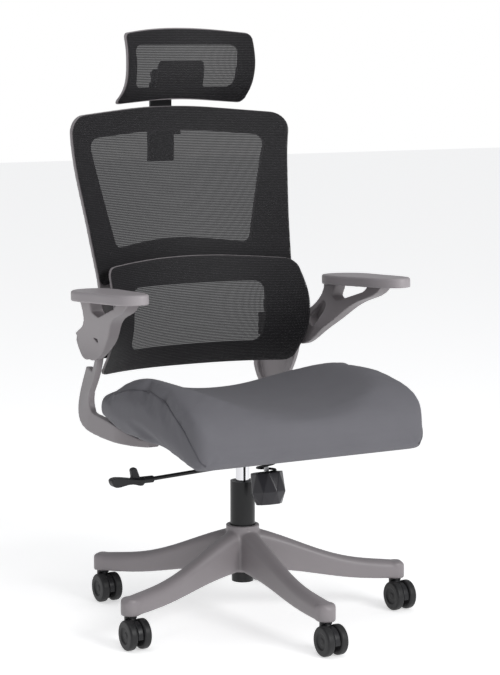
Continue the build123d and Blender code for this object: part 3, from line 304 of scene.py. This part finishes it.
def woven_thread_group():
    """The crossing threads of a fine plain weave, with the softer drift of a worn cloth."""
    group = bpy.data.node_groups.new("woven_threads", "ShaderNodeTree")
    group_socket(group, "Thread Scale", "INPUT", value=420.0)
    group_socket(group, "Threads", "OUTPUT")
    group_socket(group, "Drift", "OUTPUT")
    nodes, links = group.nodes, group.links
    entry = nodes.new("NodeGroupInput")
    leave = nodes.new("NodeGroupOutput")
    place = nodes.new("ShaderNodeTexCoord")
    waves = []
    for direction in ("X", "Y"):
        wave = nodes.new("ShaderNodeTexWave")
        wave.bands_direction = direction
        wave.inputs["Distortion"].default_value = 0.4
        links.new(place.outputs["Object"], wave.inputs["Vector"])
        links.new(entry.outputs["Thread Scale"], wave.inputs["Scale"])
        waves.append(wave)
    cross = nodes.new("ShaderNodeMath")
    cross.operation = "MULTIPLY"
    links.new(waves[0].outputs["Fac"], cross.inputs[0])
    links.new(waves[1].outputs["Fac"], cross.inputs[1])
    drift = nodes.new("ShaderNodeTexNoise")
    drift.inputs["Scale"].default_value = 14
    drift.inputs["Detail"].default_value = 6
    links.new(place.outputs["Object"], drift.inputs["Vector"])
    links.new(cross.outputs["Value"], leave.inputs["Threads"])
    links.new(drift.outputs["Fac"], leave.inputs["Drift"])
    return group


woven_threads = woven_thread_group()


def cloth_material(name, dark, light, roughness, thread_scale, sheen):
    """Fine woven cloth whose threads raise its skin and whose shade drifts gently."""
    material = bpy.data.materials.new(name)
    material.use_nodes = True
    nodes, links = material.node_tree.nodes, material.node_tree.links
    shader = nodes["Principled BSDF"]
    weave = nodes.new("ShaderNodeGroup")
    weave.node_tree = woven_threads
    weave.inputs["Thread Scale"].default_value = thread_scale
    colour = nodes.new("ShaderNodeMix")
    colour.data_type = "RGBA"
    colour.inputs["A"].default_value = (*dark, 1)
    colour.inputs["B"].default_value = (*light, 1)
    bump = nodes.new("ShaderNodeBump")
    bump.inputs["Strength"].default_value = 0.25
    bump.inputs["Distance"].default_value = 0.0004
    links.new(weave.outputs["Drift"], colour.inputs["Factor"])
    links.new(colour.outputs["Result"], shader.inputs["Base Color"])
    links.new(weave.outputs["Threads"], bump.inputs["Height"])
    links.new(bump.outputs["Normal"], shader.inputs["Normal"])
    shader.inputs["Roughness"].default_value = roughness
    shader.inputs["Sheen Weight"].default_value = sheen
    shader.inputs["Sheen Roughness"].default_value = 0.5
    return material


seat_cloth = cloth_material("seat_cloth", (0.108, 0.106, 0.119), (0.128, 0.126, 0.140), 0.82, 300, 0.04)

CUSHION_CELL = 0.0065
CUSHION_SWELL = 0.007
STAPLED_FACING = -0.55
FOAM_ROUNDING_PASSES = 34
AIR_PRESSURE = 4
FRAMES_OF_INFLATION = 20

cushion = welded_copy("seat_cushion", "seat_cushion_padded")
cushion_net = cushion.modifiers.new("even_net", "REMESH")
cushion_net.mode = "VOXEL"
cushion_net.voxel_size = CUSHION_CELL
rounding = cushion.modifiers.new("foam_rounding", "SMOOTH")
rounding.factor = 0.5
rounding.iterations = FOAM_ROUNDING_PASSES
apply_modifiers(cushion)

cushion_low, cushion_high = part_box("seat_cushion")
rest_shape = [vertex.co.copy() for vertex in cushion.data.vertices]
pinned = cushion.vertex_groups.new(name="stapled_edge")
stapled = [
    vertex.index for vertex in cushion.data.vertices
    if vertex.normal.z < STAPLED_FACING
]
pinned.add(stapled, 1.0, "REPLACE")
inflate = cushion.modifiers.new("inflate", "CLOTH")
inflate.settings.quality = 5
inflate.settings.mass = 0.3
inflate.settings.tension_stiffness = 12
inflate.settings.compression_stiffness = 12
inflate.settings.bending_stiffness = 2
inflate.settings.use_pressure = True
inflate.settings.uniform_pressure_force = AIR_PRESSURE
inflate.settings.vertex_group_mass = "stapled_edge"
inflate.settings.effector_weights.gravity = 0
for frame_number in range(1, FRAMES_OF_INFLATION + 1):
    bpy.context.scene.frame_set(frame_number)
apply_modifiers(cushion)
bpy.context.scene.frame_set(1)
for vertex, start in zip(cushion.data.vertices, rest_shape):
    moved = vertex.co - start
    if moved.length > CUSHION_SWELL:
        vertex.co = start + moved.normalized() * CUSHION_SWELL

fine = cushion.modifiers.new("fine_net", "SUBSURF")
fine.levels = 1
fine.render_levels = 1
apply_modifiers(cushion)
for face in cushion.data.polygons:
    face.use_smooth = True
cushion.data.materials.append(seat_cloth)
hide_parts("seat_cushion")
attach(cushion, "seat")

seam_cloth = cloth_material("seam_cloth", (0.062, 0.060, 0.070), (0.080, 0.078, 0.088), 0.85, 420, 0.02)
SEAM_RADIUS = 0.0017
SIDE_SEAM = [(0.060, 0.466), (0.000, 0.484), (-0.070, 0.490), (-0.140, 0.482), (-0.200, 0.460),
             (-0.242, 0.432), (-0.268, 0.402), (-0.280, 0.374)]


def cord_of_cloth(name, points, radius):
    """A thin corded seam along points, as a mesh tube."""
    curve = bpy.data.curves.new(name, "CURVE")
    curve.dimensions = "3D"
    curve.bevel_depth = radius
    curve.bevel_resolution = 3
    curve.resolution_u = 8
    curve.use_fill_caps = True
    spline = curve.splines.new("NURBS")
    spline.points.add(len(points) - 1)
    for control, place in zip(spline.points, points):
        control.co = (*place, 1)
    spline.order_u = 3
    spline.use_endpoint_u = True
    holder = bpy.data.objects.new(name + "_curve", curve)
    bpy.context.scene.collection.objects.link(holder)
    bpy.context.view_layer.update()
    mesh = bpy.data.meshes.new_from_object(holder.evaluated_get(bpy.context.evaluated_depsgraph_get()))
    bpy.data.objects.remove(holder)
    piece = bpy.data.objects.new(name, mesh)
    bpy.context.scene.collection.objects.link(piece)
    for face in mesh.polygons:
        face.use_smooth = True
    return piece


cushion_skin = BVHTree.FromObject(cushion, bpy.context.evaluated_depsgraph_get())
SEAM_STEPS = 60
POINTS_SKIPPED = 3
for hand, side in (("right", -1), ("left", 1)):
    run = []
    for step in range(SEAM_STEPS + 1):
        share = step / SEAM_STEPS * (len(SIDE_SEAM) - 1)
        index = min(int(share), len(SIDE_SEAM) - 2)
        part = share - index
        low, high = Vector(SIDE_SEAM[index]), Vector(SIDE_SEAM[index + 1])
        y, z = low.lerp(high, part)
        hit = cushion_skin.ray_cast(Vector((side * 0.5, y, z)), Vector((-side, 0, 0)))[0]
        if hit is not None:
            run.append(hit)
    seam = cord_of_cloth(f"seat_side_seam_{hand}", run[::POINTS_SKIPPED] + [run[-1]], SEAM_RADIUS)
    seam.data.materials.append(seam_cloth)
    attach(seam, "seat")


# ---- side bars ----
# Two J-shaped nylon bars, one on each side, screwed under the pan. Each sweeps back and up behind
# the cushion to carry the back and the arm's pivot.

for hand in ("right", "left"):
    moulded_piece(f"side_bar_{hand}", f"side_bar_moulding_{hand}", "seat", warm_grey_nylon,
                  0.0017, 5)


# ---- back ----
# A bowed nylon frame with a stretched black mesh over its front. The mesh is knitted in fine
# horizontal ribs, and is open enough to see through where no frame lies behind it.

def ribbed_mesh_material(name, rib_pitch, thread, opening):
    """Open knitted mesh: dense level ribs, with fine gaps that let light through, a painted highlight on
    the rib crests and painted shade in the grooves between them.
    """
    material = bpy.data.materials.new(name)
    material.use_nodes = True
    nodes, links = material.node_tree.nodes, material.node_tree.links
    shader = nodes["Principled BSDF"]
    place = nodes.new("ShaderNodeTexCoord")
    ribs = nodes.new("ShaderNodeTexWave")
    ribs.bands_direction = "Z"
    ribs.inputs["Scale"].default_value = 0.314 / rib_pitch
    ribs.inputs["Distortion"].default_value = 0.5
    ribs.inputs["Detail"].default_value = 1
    threads = nodes.new("ShaderNodeTexWave")
    threads.bands_direction = "X"
    threads.inputs["Scale"].default_value = 0.314 / (rib_pitch * 0.7)
    gaps = nodes.new("ShaderNodeMath")
    gaps.operation = "MULTIPLY"
    cover = nodes.new("ShaderNodeMapRange")
    cover.inputs["To Min"].default_value = 1.0
    cover.inputs["To Max"].default_value = 1.0 - opening
    # Painted highlight and shade: the yarn colour is made lighter on the rib crests and darker in the
    # grooves between ribs, following the rib relief of the bump.
    colour = nodes.new("ShaderNodeMix")
    colour.data_type = "RGBA"
    colour.inputs["A"].default_value = (*[share * 0.75 for share in thread], 1)
    colour.inputs["B"].default_value = (*[share * 1.35 for share in thread], 1)
    bump = nodes.new("ShaderNodeBump")
    bump.inputs["Strength"].default_value = 0.5
    bump.inputs["Distance"].default_value = 0.0006
    for wave in (ribs, threads):
        links.new(place.outputs["Object"], wave.inputs["Vector"])
    links.new(ribs.outputs["Fac"], gaps.inputs[0])
    links.new(threads.outputs["Fac"], gaps.inputs[1])
    links.new(gaps.outputs["Value"], cover.inputs["Value"])
    links.new(cover.outputs["Result"], shader.inputs["Alpha"])
    links.new(ribs.outputs["Fac"], colour.inputs["Factor"])
    links.new(colour.outputs["Result"], shader.inputs["Base Color"])
    links.new(ribs.outputs["Fac"], bump.inputs["Height"])
    links.new(bump.outputs["Normal"], shader.inputs["Normal"])
    shader.inputs["Roughness"].default_value = 0.6
    shader.inputs["Specular IOR Level"].default_value = 0.2
    return material


black_mesh = ribbed_mesh_material("black_mesh", 0.0034, (0.013, 0.0125, 0.014), 0.34)
SHEET_CELL = 0.005
FRONT_FACING = -0.3
SIDE_FACING = -0.25


def stretched_sheet(node, name, body, rim_shown):
    """A net of even cells laid on the front of a CAD panel, with its rim drawn to the panel's edge."""
    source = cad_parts[node]
    shell = bmesh.new()
    shell.from_mesh(source.data)
    bmesh.ops.remove_doubles(shell, verts=shell.verts, dist=1e-5)
    shell.normal_update()
    skin = BVHTree.FromBMesh(shell)
    rim = []
    for edge in shell.edges:
        facing = sorted(face.normal.y for face in edge.link_faces)
        if len(facing) == 2 and facing[0] < FRONT_FACING and facing[1] > SIDE_FACING:
            rim.append((edge.verts[0].co.copy(), edge.verts[1].co.copy()))
    low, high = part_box(node)
    middle_z = (low[2] + high[2]) / 2
    columns = round((high[0] - low[0]) / SHEET_CELL)
    rows = round((high[2] - low[2]) / SHEET_CELL)
    sheet = bmesh.new()
    net = {}
    for column in range(columns + 1):
        for row in range(rows + 1):
            x = low[0] + (high[0] - low[0]) * column / columns
            z = low[2] + (high[2] - low[2]) * row / rows
            hit, normal = skin.ray_cast(Vector((x, -1, z)), Vector((0, 1, 0)))[:2]
            if hit is not None and normal.y < FRONT_FACING:
                net[column, row] = sheet.verts.new(hit)
    for column in range(columns):
        for row in range(rows):
            corners = [(column, row), (column + 1, row), (column + 1, row + 1), (column, row + 1)]
            found = [net[corner] for corner in corners if corner in net]
            if len(found) >= 3:
                sheet.faces.new(found)
    loose = [vertex for vertex in sheet.verts if not vertex.link_faces]
    bmesh.ops.delete(sheet, geom=loose, context="VERTS")
    for vertex in sheet.verts:
        if not vertex.is_boundary:
            continue
        best, reach = None, SHEET_CELL * 2
        for start, end in rim:
            point, share = intersect_point_line(vertex.co, start, end)
            point = start if share < 0 else end if share > 1 else point
            if (point - vertex.co).length < reach:
                best, reach = point, (point - vertex.co).length
        if best is not None:
            inward = Vector((-best.x, 0, middle_z - best.z)).normalized()
            vertex.co = best + inward * rim_shown
    sheet.normal_update()
    cut = sum(face.calc_area() for face in sheet.faces)
    mesh = bpy.data.meshes.new(name)
    sheet.to_mesh(mesh)
    sheet.free()
    shell.free()
    piece = bpy.data.objects.new(name, mesh)
    bpy.context.scene.collection.objects.link(piece)
    for face in mesh.polygons:
        face.use_smooth = True
    mesh.materials.append(black_mesh)
    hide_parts(node)
    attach(piece, body)
    return piece, cut


for node, name, body, flat, rim_shown in (
    ("back_mesh", "back_mesh_sheet", "seat", (0.60, 0.37), 0.0010),
    ("lumbar_mesh", "lumbar_mesh_sheet", "lumbar", (0.56, 0.27), 0.0005),
    ("headrest_mesh", "headrest_mesh_sheet", "headrest", (0.34, 0.20), 0.0024),
):
    sheet_piece, sheet_area = stretched_sheet(node, name, body, rim_shown)

moulded_piece("back_frame", "back_frame_moulding", "seat", warm_grey_nylon, 0.0020, 4)
finish_node("back_screws", black_powder_coat)


# ---- lumbar panel ----
# A separate bowed frame under its own mesh. It slides up and down on a guide on each stile.

moulded_piece("lumbar_frame", "lumbar_frame_moulding", "lumbar", warm_grey_nylon, 0.0018, 4)
finish_node("lumbar_brackets", black_nylon)


# ---- headrest ----
# A small bowed frame under mesh, on a yoke that tilts on a pin. Its flat post slides in a socket
# on the back's top rail.

moulded_piece("headrest_frame", "headrest_frame_moulding", "headrest", warm_grey_nylon,
              0.0016, 4)
moulded_piece("headrest_bracket", "headrest_yoke_moulding", "headrest", black_nylon,
              0.0012, 3)
for plain_part in ("headrest_socket", "headrest_post"):
    finish_node(plain_part, black_nylon)
finish_node("headrest_hinge_pin", zinc_plate)


# ---- arms ----
# Swept nylon brackets that fork under firm moulded pads. Each flips up about a pin through its bar.

pad_skin = grained_material("pad_skin", (0.285, 0.262, 0.274), (0.315, 0.292, 0.304), 0.48, relief=0.1)
for hand in ("right", "left"):
    moulded_piece(f"arm_bracket_{hand}", f"arm_bracket_moulding_{hand}", f"arm_{hand}", warm_grey_nylon,
                  0.0017, 8)
    moulded_piece(f"arm_pad_{hand}", f"arm_pad_moulding_{hand}", f"arm_{hand}", pad_skin,
                  0.0017, 7)
finish_node("arm_pivot_pins", zinc_plate)
